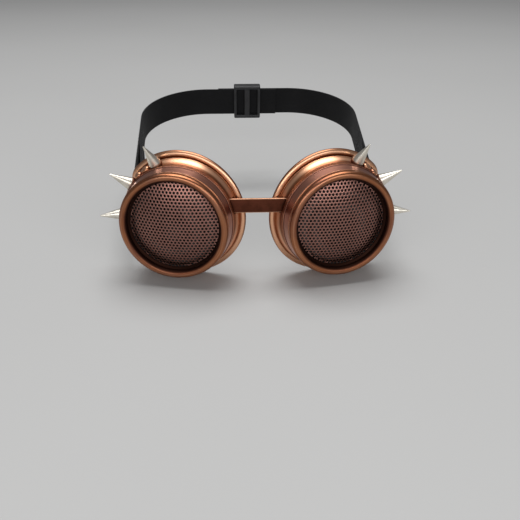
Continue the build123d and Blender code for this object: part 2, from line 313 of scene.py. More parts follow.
def blend(share, first, second):
    """A colour mixed from two, by a share from 0 to 1."""
    first, second = (colour if isinstance(colour, Signal) else (*colour, 1.0) for colour in (first, second))
    return add(share.tree, "ShaderNodeMix", 2, ("Factor", share), (6, first), (7, second),
               data_type="RGBA")


def ramp(value, low, high):
    """0 below low, 1 above high, smooth in between."""
    return add(value.tree, "ShaderNodeMapRange", "Result", ("Value", value), ("From Min", low),
               ("From Max", high), interpolation_type="SMOOTHSTEP")


def noise(vector, scale, detail=3.0, roughness=0.55):
    """Smooth noise from 0 to 1."""
    return add(vector.tree, "ShaderNodeTexNoise", "Fac", ("Vector", vector), ("Scale", scale),
               ("Detail", detail), ("Roughness", roughness))


def mark(tree, name):
    """A named number that the mesh carries."""
    return add(tree, "ShaderNodeAttribute", "Fac", attribute_name=name)


def bump(height, depth, strength):
    """A Bump node's normal: depth is the height's real size in metres."""
    return add(height.tree, "ShaderNodeBump", "Normal", ("Height", height), ("Distance", depth),
               ("Strength", strength))


def new_material(name):
    """An empty material and its Object coordinates."""
    material = bpy.data.materials.new(name)
    material.use_nodes = True
    return material, add(material.node_tree, "ShaderNodeTexCoord", "Object")


def give(material, **inputs):
    """The material, with its shader's inputs wired or set by name, with _ for a space."""
    tree = material.node_tree
    for key, value in inputs.items():
        feed(tree, tree.nodes["Principled BSDF"].inputs[key.replace("_", " ")], value)
    return material


# %% [markdown]
# The cups and bezels have an antique copper finish: a dark brown patina that stays in the
# recesses, and warm bright copper where hands and cloths rub it off. Each mesh carries numbers
# along its outline: one for patina, which on the bezel's inner flank is painted shade, nearly black;
# one for rubbed copper, which on the bead's crest, the cup's lip and wall, the vent hoods' crowns and
# the thin edges is also a painted highlight; and, on a bezel, `band` for the rosy side band. Noise
# breaks the first two up, so that no line is ruled. The polishing marks run round the cup: the noise
# is squeezed along the outline and drawn out along the angle, in the cup's own axes.


# %% Antique copper
COPPER = (0.32, 0.117, 0.05)
COPPER_PALE = (0.82, 0.45, 0.275)
COPPER_DARK = (0.075, 0.026, 0.016)
COPPER_ROSE = (0.21, 0.074, 0.044)
COPPER_BAND = (0.46, 0.205, 0.15)
COPPER_SOOT_AND_SHADE = (0.016, 0.007, 0.005)
BRUSH_FINENESS = 2600.0


def antique_copper(word):
    """The finish of one side's cup and bezel."""
    material, coordinates = new_material(f"antique_copper_{word}")
    tree = coordinates.tree
    local = add(tree, "ShaderNodeMapping", 0, ("Vector", coordinates),
                ("Location", tuple(cups[word].origin * MM)),
                ("Rotation", (0, 0, SIDES[word] * np.radians(TOE))), vector_type="TEXTURE")
    x, height, z = split(local)
    radius = (x * x + z * z).math("SQRT")
    round_it = add(tree, "ShaderNodeCombineXYZ", 0, ("X", x / radius), ("Y", z / radius),
                   ("Z", (height + radius) * BRUSH_FINENESS))
    brushing = noise(round_it, 1.6, 4.0, 0.6)
    clouds = noise(coordinates, 55.0, 4.0, 0.6)
    grain = noise(coordinates, 1400.0, 3.0, 0.6)
    # The patina mark is patina in the recesses, and painted shade on the bezel's inner flank.
    patina_and_shade = mark(tree, "patina_and_shade")
    broken = clouds * 0.6 + brushing * 0.5
    stained_and_shaded = ramp(patina_and_shade * (broken + 0.45), 0.1, 0.85)
    colour = blend(ramp(clouds, 0.35, 0.7), COPPER, COPPER_ROSE)
    colour = blend(mark(tree, "band") * 0.85, colour, COPPER_BAND)
    colour = blend(ramp(brushing, 0.45, 0.75) * 0.35, colour, COPPER_PALE)
    # The rubbing mark paints pale copper: rubbed copper, and painted highlights on crests, lips, walls and
    # edges.
    colour = blend(ramp(mark(tree, "wear_and_highlight") * (broken + 0.35), 0.2, 0.9), colour, COPPER_PALE)
    colour = blend(stained_and_shaded, colour, COPPER_DARK)
    # Nearly black where the patina mark is strongest: deep patina in the grooves and the bore, and painted
    # shade on the bezel's inner flank.
    colour = blend(ramp(patina_and_shade, 0.7, 1.0) * 0.9, colour, COPPER_SOOT_AND_SHADE)
    return give(material, Base_Color=colour, Metallic=1.0,
                Roughness=brushing * 0.16 + 0.24 + stained_and_shaded * 0.22,
                Normal=bump(brushing * 0.6 + grain * 0.4, 0.00003, 0.5))


copper = {word: antique_copper(word) for word in SIDES}

# %% [markdown]
# The grille is thin perforated copper sheet. Its webs are narrow, so their colour shows as a
# rosy brown, a little paler on the front, where it is rubbed. The spikes are turned steel with a
# fine grain, and the screws and pins are plain steel.


# %% Grille, spikes and small metal parts
def grille_copper():
    """Rosy brown perforated sheet."""
    material, coordinates = new_material("grille_copper")
    clouds = noise(coordinates, 90.0, 4.0)
    grain = noise(coordinates, 1800.0, 2.0)
    colour = blend(ramp(clouds, 0.3, 0.75), (0.20, 0.085, 0.068), (0.13, 0.052, 0.041))
    rubbed = ramp(mark(coordinates.tree, "wear_and_highlight"), 0.0, 1.0) * 0.3
    return give(material, Base_Color=blend(rubbed, colour, (0.60, 0.33, 0.27)), Metallic=1.0,
                Roughness=grain * 0.16 + 0.24, Normal=bump(grain, 0.00002, 0.3))


def turned_steel(name, colour, dark, rough):
    """Satin steel with fine grain and faint smears."""
    material, coordinates = new_material(name)
    grain = noise(coordinates, 900.0, 4.0)
    smears = noise(coordinates, 160.0)
    return give(material, Base_Color=blend(ramp(smears, 0.35, 0.75), colour, dark), Metallic=1.0,
                Roughness=grain * 0.2 + rough, Normal=bump(grain, 0.00001, 0.2))


grille_finish = grille_copper()
spike_finish = turned_steel("spike_steel", (0.83, 0.79, 0.70), (0.66, 0.62, 0.54), 0.27)
screw_finish = turned_steel("screw_steel", (0.52, 0.50, 0.47), (0.30, 0.28, 0.26), 0.28)

# %% [markdown]
# The nose strip is flat copper stock, stained dark red-brown and rubbed bright along its edges.
# Here the rubbed edge is found from the piece's own height: the shader works it out from the
# distance to the strip's top and bottom edges.


# %% Nose strip finish
STRIP_Z, STRIP_H, STRIP_T = 8.8, 8.4, 1.2


def strip_copper():
    """Dark reddish copper with bright rubbed edges."""
    material, coordinates = new_material("strip_copper")
    off_middle = split(coordinates)[2].math("SUBTRACT", STRIP_Z * MM).math("ABSOLUTE")
    clouds = noise(coordinates, 240.0, 4.0)
    squeezed = add(coordinates.tree, "ShaderNodeMapping", 0, ("Vector", coordinates),
                   ("Scale", (60, 900, 2400)))
    brushing = noise(squeezed, 1.0, 4.0)
    edge = ramp(off_middle, (STRIP_H / 2 - 0.55) * MM, (STRIP_H / 2 - 0.1) * MM) * (clouds + 0.35)
    colour = blend(ramp(clouds, 0.35, 0.7), (0.10, 0.029, 0.018), (0.065, 0.019, 0.012))
    colour = blend(brushing * 0.15, colour, COPPER)
    return give(material, Base_Color=blend(edge, colour, COPPER_PALE), Metallic=1.0,
                Roughness=brushing * 0.2 + 0.3, Normal=bump(brushing, 0.00002, 0.4))


strip_finish = strip_copper()

# %% [markdown]
# The rest is dark: black elastic webbing, a black moulded slider, a rubber gasket, a plastic
# spacer and a smoked lens. Black needs care, because a pure black surface shows no form: each
# gets a dark grey that varies, and a roughness that lets its edges catch some light.


# %% Black plastic, rubber and the smoked lens
def dark_plastic(name, colour, rough, grain_scale, depth):
    """Moulded plastic or rubber with a fine spark-eroded grain."""
    material, coordinates = new_material(name)
    grain = noise(coordinates, grain_scale)
    clouds = noise(coordinates, 120.0)
    paler = tuple(channel * 1.9 for channel in colour)
    return give(material, Base_Color=blend(ramp(clouds, 0.3, 0.75), colour, paler),
                Roughness=grain * 0.2 + rough, Normal=bump(grain, depth, 0.5))


def smoked_glass():
    """A dark lens that lets a little light through, with faint dust on its faces."""
    material, coordinates = new_material("smoked_glass")
    dust = noise(coordinates, 700.0, 4.0)
    smears = noise(coordinates, 70.0)
    tint = blend(ramp(smears, 0.3, 0.8), (0.012, 0.010, 0.009), (0.022, 0.017, 0.014))
    return give(material, Base_Color=tint, Transmission_Weight=0.25, IOR=1.5,
                Roughness=dust * 0.08 + 0.03)


slider_finish = dark_plastic("slider_plastic", (0.012, 0.012, 0.013), 0.34, 1500.0, 0.00003)
spacer_finish = dark_plastic("spacer_plastic", (0.014, 0.013, 0.013), 0.45, 1100.0, 0.00003)
gasket_finish = dark_plastic("gasket_rubber", (0.010, 0.010, 0.010), 0.62, 800.0, 0.00005)
lens_finish = smoked_glass()

# %% [markdown]
# Elastic webbing is woven: thick lengthwise ribs cross thin picks. The strap carries a UV map in
# metres, along its length and across its width, so the weave follows it round every bend. The
# ribs and picks are two sine waves, and each rib is shifted half a pick against the next one,
# so that it doesn't read as a grid.


# %% Webbing and its thread
RIB, PICK = 0.00105, 0.00120


def woven_elastic():
    """Black woven elastic on UV in metres: U along the strap and V across it."""
    material, coordinates = new_material("woven_elastic")
    along, across, _ = split(add(coordinates.tree, "ShaderNodeUVMap", 0, uv_map="UVMap"))
    rib_count = across / RIB
    rib = (rib_count * np.pi).math("SINE").math("ABSOLUTE")
    pick_count = along / PICK + rib_count.math("FLOOR") * 0.5
    pick = (pick_count * np.pi).math("SINE").math("ABSOLUTE")
    weave = rib.math("POWER", 0.6) * (pick + 0.35)
    fuzz = noise(coordinates, 2600.0)
    fade = noise(coordinates, 45.0)
    colour = blend(weave * 0.7, (0.003, 0.003, 0.0035), (0.012, 0.012, 0.013))
    colour = blend(ramp(fade, 0.4, 0.8) * 0.5, colour, (0.016, 0.0155, 0.016))
    return give(material, Base_Color=colour, Sheen_Weight=0.05, Sheen_Roughness=0.5,
                Specular_IOR_Level=0.15, Roughness=fuzz * 0.2 + 0.68,
                Normal=bump(weave + fuzz * 0.35, 0.00022, 0.8))


webbing_finish = woven_elastic()
thread_finish = dark_plastic("sewing_thread", (0.016, 0.016, 0.017), 0.5, 3000.0, 0.00004)

# %% [markdown]
# Some finished pieces are made of several shells, such as a frame and its bars. `joined` puts
# their meshes into one object, so that the piece stays one thing to move and to paint. `near`
# gives the marks: it is 1 at a place on an outline and falls to 0 at a distance from it.


# %% Joined pieces and marks
def joined(name, shells):
    """One object from several, with the first one's material."""
    work = bmesh.new()
    for shell in shells:
        work.from_mesh(shell.data)
    mesh = bpy.data.meshes.new(name)
    work.to_mesh(mesh)
    work.free()
    made = new_object(name, mesh, shells[0].data.materials[0])
    for shell in shells:
        bpy.data.meshes.remove(shell.data)
    return made


def smooth(values, low, high):
    """0 below low, 1 above high, smooth in between."""
    share = np.clip((values - low) / (high - low), 0, 1)
    return share * share * (3 - 2 * share)


def near(outline, *spots):
    """1 at each (x, y, reach), falling smoothly to 0 at a distance of reach."""
    return np.maximum.reduce([smooth(1 - np.hypot(outline[:, 0] - x, outline[:, 1] - y) / reach, 0, 1)
                              for x, y, reach in spots])


def place_on(made, body, slot, *nodes):
    """Lets a finished piece ride on a body and stand for nodes. The slot is not used."""
    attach(made, body)
    if nodes:
        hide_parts(*nodes)
    print(made.name, "on", body)


# %% [markdown]
# The bezel is a turned ring that screws on to the cup's neck and clamps the grille. Its front is a
# full round bead. Inside the bead a narrow slope runs down to the mouth; this inner flank faces away
# from the light and is painted nearly black as shade. Outside, a fine step parts the bead from a side
# band that widens towards a sharp rear edge. The bead's crest and the thin edges are rubbed pale,
# which is also a painted highlight. The bore has a real thread: the groove's depth is a wave of the
# height less the angle, so it climbs 2 mm a turn.

# %% Bezels
THREAD_LEAD, THREAD_DEPTH = 2.0, 0.35
BORE_R, NECK_R, MOUTH_R = 29.08, 29.0, 25.2
BEAD_X, BEAD_Y, BEAD_R = 28.6, 10.4, 2.4
RING_STEPS = 200


def threaded(grid, bore, low, high, depth):
    """Adds a helical groove to the points of a turned grid that lie on a bore or a neck."""
    radius = np.hypot(grid[..., 0], grid[..., 1])
    angle = np.arctan2(grid[..., 1], grid[..., 0])
    height = grid[..., 2]
    fade = np.clip((height - low) / 0.3, 0, 1) * np.clip((high - height) / 0.3, 0, 1)
    wave = 0.5 - 0.5 * np.cos(2 * np.pi * height / THREAD_LEAD - angle)
    cut = np.where(np.abs(radius - bore) < 0.02, depth * fade * wave, 0)
    scale = (1 + cut / np.maximum(radius, 1))[..., None]
    return np.concatenate([grid[..., :2] * scale, grid[..., 2:]], axis=-1)


def spaced(x, low, high, count):
    """Outline corners up or down a straight bore, close enough together to carry a thread."""
    return [(x, height, 0) for height in np.linspace(low, high, count)]


def between(start, stop, count):
    """Outline corners inside a straight side, so that a mark at its end doesn't spread along it."""
    shares = np.linspace(0, 1, count + 2)[1:-1]
    return [(*(np.array(start) * (1 - share) + np.array(stop) * share), 0) for share in shares]


bezel_outline = np.concatenate([
    rounded([(26.42, 9.39, 0), (MOUTH_R, 8.6, 0.15), (MOUTH_R, 8.05, 0.1), (BORE_R, 8.05, 0),
             *spaced(BORE_R, 7.4, 1.0, 34), (29.38, 0.7, 0.1), (32.0, 0.7, 0.16),
             (32.0, 1.9, 0.16), (31.66, 1.98, 0.1), *between((31.66, 1.98), (30.42, 7.6), 9),
             (30.42, 7.6, 0.08), (30.86, 7.74, 0.16),
             (30.86, 8.2, 0.2), (30.2, 8.5, 0)], closed=False),
    arc(BEAD_X, BEAD_Y, BEAD_R, -50, 205, 44),
])
out, up = bezel_outline.T
on_bore = (np.abs(out - BORE_R) < 0.3) & (up < 8.0)
bead_turn = np.degrees(np.arctan2(up - BEAD_Y, out - BEAD_X)) % 360
# Painted shade: the bead's inner flank, turned away from the light, gets the strongest patina mark and turns
# nearly black.
painted_shade_flank = smooth(bead_turn, 80, 150) * (out < BEAD_X) * (up > 8.0)
bezel_marks = {
    "patina_and_shade": np.maximum.reduce([painted_shade_flank, 0.8 * on_bore, near(
        bezel_outline, (30.45, 7.55, 0.5), (30.3, 8.45, 0.4), (31.7, 2.0, 0.35))]),
    # Painted highlight, with rubbing: pale copper on the bead's crest and on the thin edges of the step and
    # the rear flange.
    "wear_and_highlight": np.maximum(0.4 * near(bezel_outline, (29.2, 12.7, 2.4)),
                       near(bezel_outline, (30.86, 8.0, 0.4), (32.0, 1.3, 0.9))),
    "band": np.clip((8.0 - up) / 0.3, 0, 1) * (out > 30.3),
}


def bezel(word):
    """Makes one side's bezel, with its thread in the bore."""
    grid = threaded(ring_grid(bezel_outline, RING_STEPS), BORE_R, 1.0, 7.3, THREAD_DEPTH)
    made = skin(f"bezel_{word}_surface", cups[word].put(grid), copper[word],
                marks=ring_marks(bezel_marks, RING_STEPS), sharp=50)
    place_on(made, f"bezel_{word}", "copper_body", f"bezel_{word}")


for word in SIDES:
    bezel(word)

# %% [markdown]
# The grille is perforated sheet pressed into a shallow dome. Punching 649 holes with a Boolean
# would leave a ragged mesh, so the sheet is made of its repeating unit instead: a hexagonal cell
# with a round hole in it. Each cell has twelve points on its border and twelve round the hole, on
# several levels, and every border point is shared with the next cell. The flat field is then
# lifted on to the dome by adding the height of a sphere over each point.

# %% Grilles
PITCH, HOLE_R, SHEET_T = 2.05, 0.72, 0.57
FIELD_R, RIM_R = 27.2, 28.4
DOME_R, DOME_H, RIM_TOP = 24.6, 4.6, 7.97
SIDE_COUNT = 12
DOME_SPHERE = (DOME_R ** 2 + DOME_H ** 2) / (2 * DOME_H)


def dome_height(radius):
    """Height of the sheet's front face: a sphere's cap inside the dome's foot, flat outside it."""
    cap = np.sqrt(np.maximum(DOME_SPHERE ** 2 - radius ** 2, 0)) - (DOME_SPHERE - DOME_H)
    foot = 0.5 * (cap + np.sqrt(cap ** 2 + 0.04)) - 0.1
    return RIM_TOP + np.where(radius < DOME_R + 3, np.maximum(foot, 0), 0)


def cell_centres(field):
    """Centres of cells in rows, each row shifted by half a pitch, inside a circle."""
    rise = PITCH * np.sqrt(3) / 2
    count = int(field / rise) + 2
    line, column = np.meshgrid(np.arange(-count, count + 1), np.arange(-count, count + 1), indexing="ij")
    spots = np.stack([(column + 0.5 * (line % 2)) * PITCH, line * rise], axis=-1).reshape(-1, 2)
    return spots[np.hypot(spots[:, 0], spots[:, 1]) < field]


def perforated(word):
    """Makes a grille of cells whose levels run in to the hole in front and out again behind."""
    turn = np.radians(30 * np.arange(SIDE_COUNT) + 30)
    round_ring = np.stack([np.cos(turn), np.sin(turn)], axis=-1)
    border = np.where(np.arange(SIDE_COUNT) % 2 == 0, PITCH / np.sqrt(3), PITCH / 2)
    levels = [(border, 0.0), (HOLE_R + 0.06, 0.0), (HOLE_R + 0.02, 0.02), (HOLE_R, 0.06),
              (HOLE_R, SHEET_T - 0.05), (HOLE_R + 0.06, SHEET_T), (border, SHEET_T)]
    centres = cell_centres(FIELD_R)
    flat = np.stack([centres[:, None] + round_ring * np.broadcast_to(size, SIDE_COUNT)[:, None]
                     for size, _ in levels], axis=1)
    depth = np.array([level for _, level in levels])[None, :, None]
    height = dome_height(np.hypot(flat[..., 0], flat[..., 1])) - depth
    points = np.concatenate([flat, height[..., None]], axis=-1).reshape(-1, 3)
    count, rings = len(centres), len(levels)
    cell, ring, side = np.meshgrid(np.arange(count), np.arange(rings - 1), np.arange(SIDE_COUNT),
                                   indexing="ij")
    base = (cell * rings + ring) * SIDE_COUNT
    here, ahead = base + side, base + (side + 1) % SIDE_COUNT
    quads = np.stack([here, ahead, ahead + SIDE_COUNT, here + SIDE_COUNT], axis=-1).reshape(-1, 4)
    if SIDES[word] < 0:
        quads = quads[:, ::-1]
    wear_and_highlight = np.where(depth < 0.05, 1.0, 0.0) * np.ones((count, 1, SIDE_COUNT))
    mesh = mesh_of("sheet", cups[word].put(points), quads, {"wear_and_highlight": wear_and_highlight})
    finish_mesh(mesh, 40)
    rim_line = rounded([(26.9, 7.4, 0.1), (RIM_R, 7.4, 0.1), (RIM_R, 8.0, 0.1), (26.9, 8.0, 0.1)], 3)
    rim = turned("rim", rim_line, cups[word], grille_finish)
    sheet = new_object("sheet", mesh, grille_finish)
    made = joined(f"grille_{word}_surface", [sheet, rim])
    place_on(made, f"holder_{word}", "copper_grille", f"grille_{word}")


for word in SIDES:
    perforated(word)
print("holes a side", len(cell_centres(FIELD_R)))

# %% [markdown]
# The eye cup is one thin shell: a threaded neck, a narrow flange, a wall that flares backwards, a
# groove, and a skirt that ends in a full rounded lip against the face. Up to the groove it is
# round. The skirt and the lip are cut flat on the outer side, where the strap leaves, and the two
# corners are rounded. A plain turned outline can't do that, so each station of the outline also
# says how much is cut off, and `cup_reach` gives the distance from the axis at every angle.

# %% Eye cup's outline
CUP_STEPS = 240
SKIRT_CUT, LIP_CUT = 6.6, 7.3
CORNER_R, LIP_WIDE = 9.0, 2.2
LIP_TILT = np.tan(np.radians(3.5))


def cup_reach(angle, radius, cut, corner):
    """Distance from the centre to a circle with one side cut flat and its corners rounded."""
    flat = radius - cut
    centre_u = flat - corner
    centre_v = np.sqrt(np.maximum((radius - corner) ** 2 - centre_u ** 2, 0))
    direction = np.arctan2(centre_v, centre_u)
    on_line = np.arctan2(centre_v, flat)
    away = np.abs((angle + np.pi) % (2 * np.pi) - np.pi)
    across = (radius - corner) * np.sin(away - direction)
    on_corner = ((radius - corner) * np.cos(away - direction)
                 + np.sqrt(np.maximum(corner ** 2 - across ** 2, 0)))
    straight = flat / np.maximum(np.cos(away), 0.2)
    return np.where(away < on_line, straight, np.where(away < direction, on_corner, radius))


def stations(line, cut=0.0, corner=CORNER_R, lean=0.0):
    """Outline points as rows of radius, height, cut, corner radius and lean of the lip."""
    line = np.asarray(line, float)
    extra = np.broadcast_to(np.stack(np.broadcast_arrays(cut, corner, lean), axis=-1), (len(line), 3))
    return np.concatenate([line, extra], axis=1)


lip_turn = np.radians(np.linspace(144.9, -180, 40))
lip_line = np.stack([34.9 + LIP_WIDE * np.cos(lip_turn), -11.3 + 1.7 * np.sin(lip_turn)], axis=1)
cup_outline = np.concatenate([
    stations(rounded([(24.6, -1.0, 0), (24.6, 4.4, 0.3), (NECK_R, 4.4, 0.25), *spaced(NECK_R, 3.8, 0.5, 30),
                      (NECK_R, 0.0, 0.15), (32.0, 0.0, 0.18), (32.0, -1.6, 0.18), (31.45, -1.62, 0.1),
                      (31.9, -2.8, 0.5), *between((31.9, -2.8), (33.95, -7.55), 7),
                      (33.95, -7.55, 0.25), (33.15, -8.1, 0.15), (33.1, -8.2, 0)],
                     closed=False)),
    stations([(33.1, -8.25), (33.1, -9.2)], SKIRT_CUT, CORNER_R, 0.3),
    stations(lip_line, LIP_CUT, CORNER_R + LIP_WIDE * np.cos(lip_turn), 1.0),
    stations([(31.2, -11.3), (30.9, -11.0)], SKIRT_CUT, CORNER_R, 1.0),
    stations([(30.9, -7.25)], SKIRT_CUT),
    stations([(31.42, -7.2), (28.74, -1.0)]),
])
lip_rows = (cup_outline[:, 4] == 1.0) & (cup_outline[:, 0] > 32.6)
inside_rows = np.arange(len(cup_outline)) >= np.flatnonzero(lip_rows)[-1]
cup_marks = {
    "patina_and_shade": np.maximum.reduce([near(cup_outline, (33.2, -8.3, 0.9), (31.5, -1.75, 0.5)),
                                 0.75 * inside_rows, 0.7 * (cup_outline[:, 0] < 29.3) * ~inside_rows]),
    # Painted highlight, with rubbing: pale copper on the lip's top, the wall beside the bezel and the thin
    # edges.
    "wear_and_highlight": np.maximum(near(cup_outline, (35.6, -9.7, 3.0)) * lip_rows, near(
        cup_outline, (33.0, -5.2, 3.2), (32.0, -0.8, 0.9), (33.9, -7.5, 0.5))),
}

# %% [markdown]
# The slot for the nose strip is cut with a Boolean, because it crosses the wall, the groove and
# the skirt at a slant to the grid. The cut is made real at once: the piece takes the cut mesh, and
# the cutter goes. Then the small parts of the cup are added: bosses that hold the nose pin, pads
# under the spikes, ears and the bar that carries the strap, and two pairs of vent hoods.


# %% Eye cups
def carved(made, cutter):
    """Cuts the cutter out of a piece for good and removes it."""
    cut = made.modifiers.new("cut", "BOOLEAN")
    cut.object, cut.solver = cutter, "EXACT"
    bpy.context.view_layer.update()
    depsgraph = bpy.context.evaluated_depsgraph_get()
    mesh = bpy.data.meshes.new_from_object(made.evaluated_get(depsgraph), depsgraph=depsgraph)
    made.modifiers.clear()
    made.data = mesh
    bpy.data.meshes.remove(cutter.data)
    return made


def spike_place(cup, angle):
    """A place on the cup's wall, 4 mm behind the bezel seat: w points straight out of the wall."""
    slope = np.arctan2(2.6, 6.0)
    turn = np.radians(angle)
    ray = np.array([np.cos(turn), np.sin(turn), 0])
    foot = ray * (31.4 + (4.0 - 1.6) * np.tan(slope))
    x = np.array([-np.sin(turn), np.cos(turn), 0])
    z = ray * np.cos(slope) + np.array([0, 0, np.sin(slope)])
    return cup.local(foot[0], foot[1], -4.0, x, np.cross(z, x), z)


def rectangle(x, y, width, depth, radius, steps=5):
    """A rectangle's outline round (x, y), with rounded corners."""
    signs = ((-1, -1), (1, -1), (1, 1), (-1, 1))
    return rounded([(x + i * width / 2, y + j * depth / 2, radius) for i, j in signs], steps)


STRAIGHT = np.eye(3)
BODY = Place((0, 0, 0), *STRAIGHT)
PIN, BAR = (18.3, -6.0), (69.293, 22.185)
RISE = np.radians(10.0)
CLIMBING = [(1, 0, 0), (0, np.cos(RISE), np.sin(RISE)), (0, -np.sin(RISE), np.cos(RISE))]
EAR_MID, EAR_HALF, BAR_R = 12.03, 1.1, 1.6
BOSS_OFF, BOSS_HALF = 6.05, 1.6
SLOT_LOW, SLOT_HIGH, SLOT_L, SLOT_W = 4.35, 13.25, 9.0, 3.61
SPIKE_ANGLES = (68, 34, 0)
PAD_R, PAD_RISE, PAD_PATINA = 3.9, 1.2, 0.62
HOOD_ANGLES = (56.2, 45.8, -45.8, -56.2)
HOOD_LONG, HOOD_WIDE, HOOD_RISE, HOOD_POWER, HOOD_STEPS = 2.6, 2.2, 1.95, 2.2, 64
WALL_LINE = ([-8.2, -7.55, -2.8, 0.0], [33.1, 33.95, 31.9, 32.0])


def hood(cup, angle, material):
    """A vent hood: a rounded tab whose foot spreads into the wall and whose crown is soft."""
    turn = full_turn(HOOD_STEPS)
    edge = (np.abs(np.cos(turn) / HOOD_LONG) ** HOOD_POWER
            + np.abs(np.sin(turn) / HOOD_WIDE) ** HOOD_POWER) ** (-1 / HOOD_POWER)
    climb = np.radians(np.linspace(0, 90, 14))
    share = np.concatenate([[1.2, 1.06], np.cos(climb) ** 0.8])[:, None]
    height = np.concatenate([[-1.1, -0.3], HOOD_RISE * np.sin(climb) ** 0.85])[:, None]
    share[-1] = 0
    grid = ring_points(share * edge, turn, height)
    grid = np.concatenate([grid[:1] * [0, 0, 1], grid])
    # The crown is paler copper: rubbing, and a painted highlight on top of the hood.
    wear_and_highlight = np.clip(np.append(height[0], height) / 2 - 0.1, 0, 1)
    return skin("hood", spike_place(cup, angle).put(grid), material, close=(False, True),
                marks=ring_marks({"wear_and_highlight": wear_and_highlight}, HOOD_STEPS))


def kept_inside(made, cup):
    """Draws a piece's points in to the inside of the cup's wall, so that nothing comes through it."""
    points = np.empty(3 * len(made.data.vertices), np.float32)
    made.data.vertices.foreach_get("co", points)
    local = (points.reshape(-1, 3) / MM - cup.origin) @ cup.axes.T
    radius = np.hypot(local[:, 0], local[:, 1])
    limit = np.interp(local[:, 2], *WALL_LINE) - 0.6
    local[:, :2] *= np.minimum(1, limit / radius)[:, None]
    made.data.vertices.foreach_set("co", (cup.put(local) * MM).astype(np.float32).ravel())
    made.data.update()
    return made


def cup_shell(word):
    """The shell of one cup: every station of its outline at every angle."""
    turn = full_turn(CUP_STEPS)[None]
    radius, height, cut, corner, lean = (column[:, None] for column in cup_outline.T)
    reach = cup_reach(turn, radius, cut, corner)
    u, v = reach * np.cos(turn), reach * np.sin(turn)
    grid = np.stack([u, v, height - lean * LIP_TILT * u], axis=-1)
    grid = threaded(grid, NECK_R, 0.4, 4.0, -THREAD_DEPTH)
    return skin(f"cup_{word}_shell", cups[word].put(grid), copper[word],
                marks=ring_marks(cup_marks, CUP_STEPS), sharp=40)


def cup(word):
    """Makes a shell with its slot, bosses, pads, ears, bar and vent hoods, as one object."""
    side, place, material = SIDES[word], cups[word], copper[word]
    reach = rectangle(side * (PIN[0] - SLOT_L / 2), PIN[1], SLOT_L, SLOT_W, 0.3, 3)
    slot = prism("slot", reach, SLOT_LOW, SLOT_HIGH, 0.05, BODY, material)
    shell = carved(cup_shell(word), slot)
    finish_mesh(shell.data, 40)
    shells = [shell]
    for off in (-BOSS_OFF, BOSS_OFF):
        boss = prism("boss", rectangle(side * PIN[0], PIN[1], 5.4, 5.4, 0.8), STRIP_Z + off - BOSS_HALF,
                     STRIP_Z + off + BOSS_HALF, 0.35, BODY, material)
        shells.append(kept_inside(boss, place))
    pad = rounded([(0, -1.1, 0), (PAD_R, -1.1, 0), (3.85, 0.3, 0.3), (3.8, PAD_RISE, 0.25),
                   (0, PAD_RISE, 0)], 4, closed=False)
    for angle in SPIKE_ANGLES:
        shells.append(turned("pad", pad, spike_place(place, angle), material, 72, close=(False, True),
                             marks={"patina_and_shade": np.full(len(pad), PAD_PATINA)}))
    shells += [hood(place, angle, material) for angle in HOOD_ANGLES]
    ear_place = place.local(0, 0, 0, (1, 0, 0), (0, 0, 1), (0, -1, 0))
    for off in (-EAR_MID, EAR_MID):
        shells.append(prism("ear", rectangle(29.5, -17.0, 4.4, 11.4, 2.0, 9), -off - EAR_HALF,
                            -off + EAR_HALF, 0.35, ear_place, material, sharp=40))
    along_bar = Place((side * BAR[0], BAR[1], 0), *CLIMBING)
    half = EAR_MID / np.cos(RISE)
    bar = [(0, -half), (BAR_R, -half), (BAR_R, half), (0, half)]
    shells.append(turned("bar", np.array(bar), along_bar, material, 48, close=(False, True)))
    made = joined(f"cup_{word}_surface", shells)
    made.data.set_sharp_from_angle(angle=np.radians(40))
    place_on(made, f"cup_{word}", "copper_body", f"cup_{word}")


for word in SIDES:
    cup(word)

# %% [markdown]
# Each spike is a turned steel cone with a tapped hole in its foot. A pan-head screw goes through
# the wall from inside the cup and holds it. The screw's head has a cross recess: in a turned grid
# the rows round the recess simply follow a cross instead of a circle, so no cut is needed.

# %% Spikes and their screws
SPIKE_R, SPIKE_H, TAP_R = 3.5, 13.0, 1.3
SPIKE_LINE = np.concatenate([
    rounded([(0, 5.1, 0), (TAP_R, 5.1, 0), (TAP_R, 0, 0.12), (SPIKE_R, 0, 0.15), (SPIKE_R, 0.6, 0.35)],
            4, closed=False)[:-1],
    rounded([(SPIKE_R, 0.5, 0), (3.46, 0.75, 0.3), (0.3, 12.85, 0.3), (0, SPIKE_H, 0)], 7, closed=False),
])
SCREW_STEPS = 64


def cross_reach(turn, arm, half):
    """Distance from the middle to the edge of a cross with arms of a length and a half width."""
    folded = np.abs((turn + np.pi / 4) % (np.pi / 2) - np.pi / 4)
    return np.minimum(arm / np.cos(folded), half / np.maximum(np.sin(folded), 1e-6))


def pan_screw(place):
    """A screw along w: its head below the wall's inside, its shank up into the spike."""
    turn = full_turn(SCREW_STEPS)
    cross = cross_reach(turn, 1.15, 0.26)
    head = rounded([(1.3, -3.15, 0), (1.9, -2.95, 0.5), (1.9, -2.35, 0.1), (1.25, -2.35, 0),
                    (1.25, 6.0, 0.2), (0, 6.2, 0)], 6, closed=False)
    rings = [(0 * cross, -2.6), (cross * 0.7, -2.6), (cross, -3.12), (cross + 0.05, -3.15)]
    rings += [(radius + 0 * turn, height) for radius, height in head]
    grid = np.stack([ring_points(ring, turn, height) for ring, height in rings])
    return skin("screw", place.put(grid), screw_finish, close=(False, True), sharp=30)


